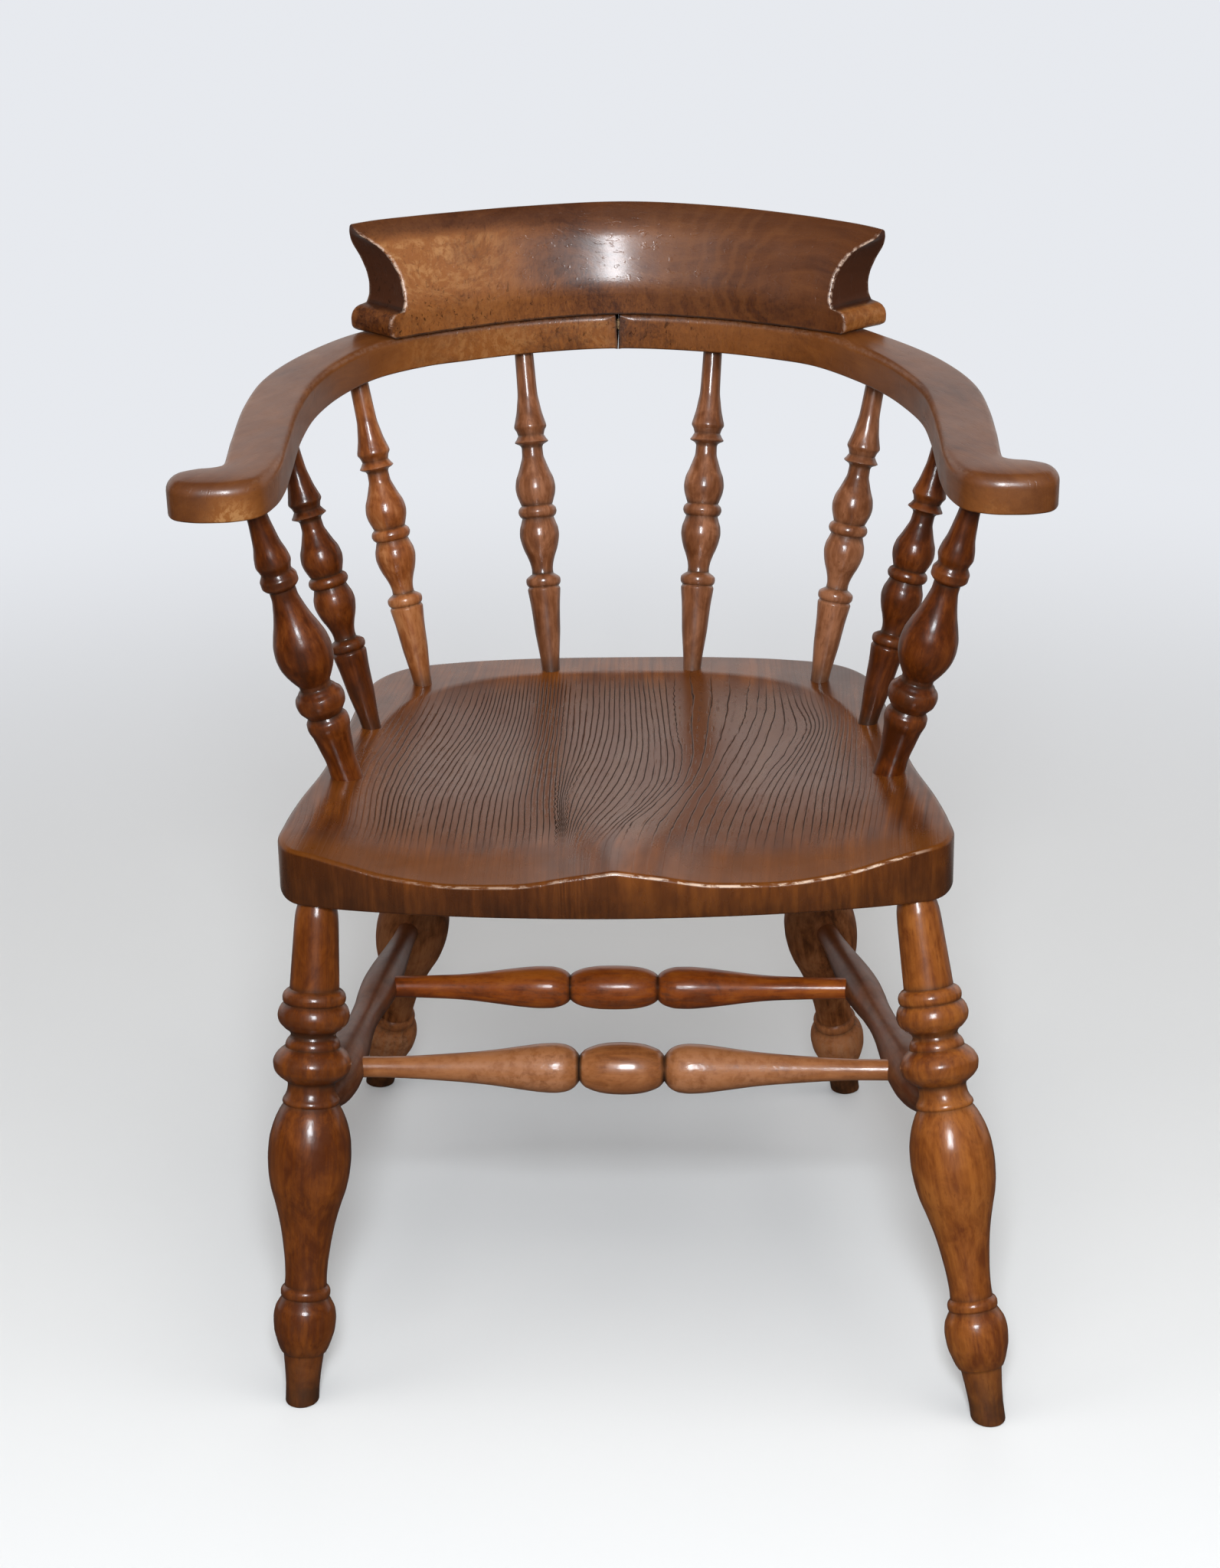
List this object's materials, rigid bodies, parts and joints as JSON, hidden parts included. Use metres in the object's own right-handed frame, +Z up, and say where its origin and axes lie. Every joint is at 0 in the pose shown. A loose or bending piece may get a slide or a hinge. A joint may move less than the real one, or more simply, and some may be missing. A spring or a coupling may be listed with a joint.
{
  "type": "captain's chair",
  "caption": "Wooden smoker's bow chair: saddled seat on turned splayed legs, with a low curved arm bow and crest rail on turned spindles.",
  "frame": {"origin": "middle of the bounding box, on the floor", "axes": "+Z up, -Y is the front that the sitter faces, +X is to the right as seen from the front"},
  "size_m": [0.6718, 0.6316, 0.8256],
  "materials": {
    "turned_wood": "glossy red-brown polish over turned wood",
    "seat_wood": "worn satin polish over open-grained elm",
    "bow_wood": "satin brown polish, mottled figure, pale worn edges",
    "hidden_dowel": "bare wood, hidden in the joints"
  },
  "bodies": {
    "root": {"seat": "seat_wood", "left_arm": "bow_wood", "right_arm": "bow_wood", "crest_rail": "bow_wood", "front_left_leg": "turned_wood", "rear_left_leg": "turned_wood", "front_right_leg": "turned_wood", "rear_right_leg": "turned_wood", "left_side_stretcher": "turned_wood", "right_side_stretcher": "turned_wood", "front_cross_stretcher": "turned_wood", "rear_cross_stretcher": "turned_wood", "left_arm_post": "turned_wood", "right_arm_post": "turned_wood", "left_inner_spindle": "turned_wood", "left_middle_spindle": "turned_wood", "left_outer_spindle": "turned_wood", "right_inner_spindle": "turned_wood", "right_middle_spindle": "turned_wood", "right_outer_spindle": "turned_wood", "crest_dowel_1": "hidden_dowel", "crest_dowel_2": "hidden_dowel", "crest_dowel_3": "hidden_dowel", "crest_dowel_4": "hidden_dowel", "arm_joint_dowel": "hidden_dowel"}
  },
  "joints": []
}
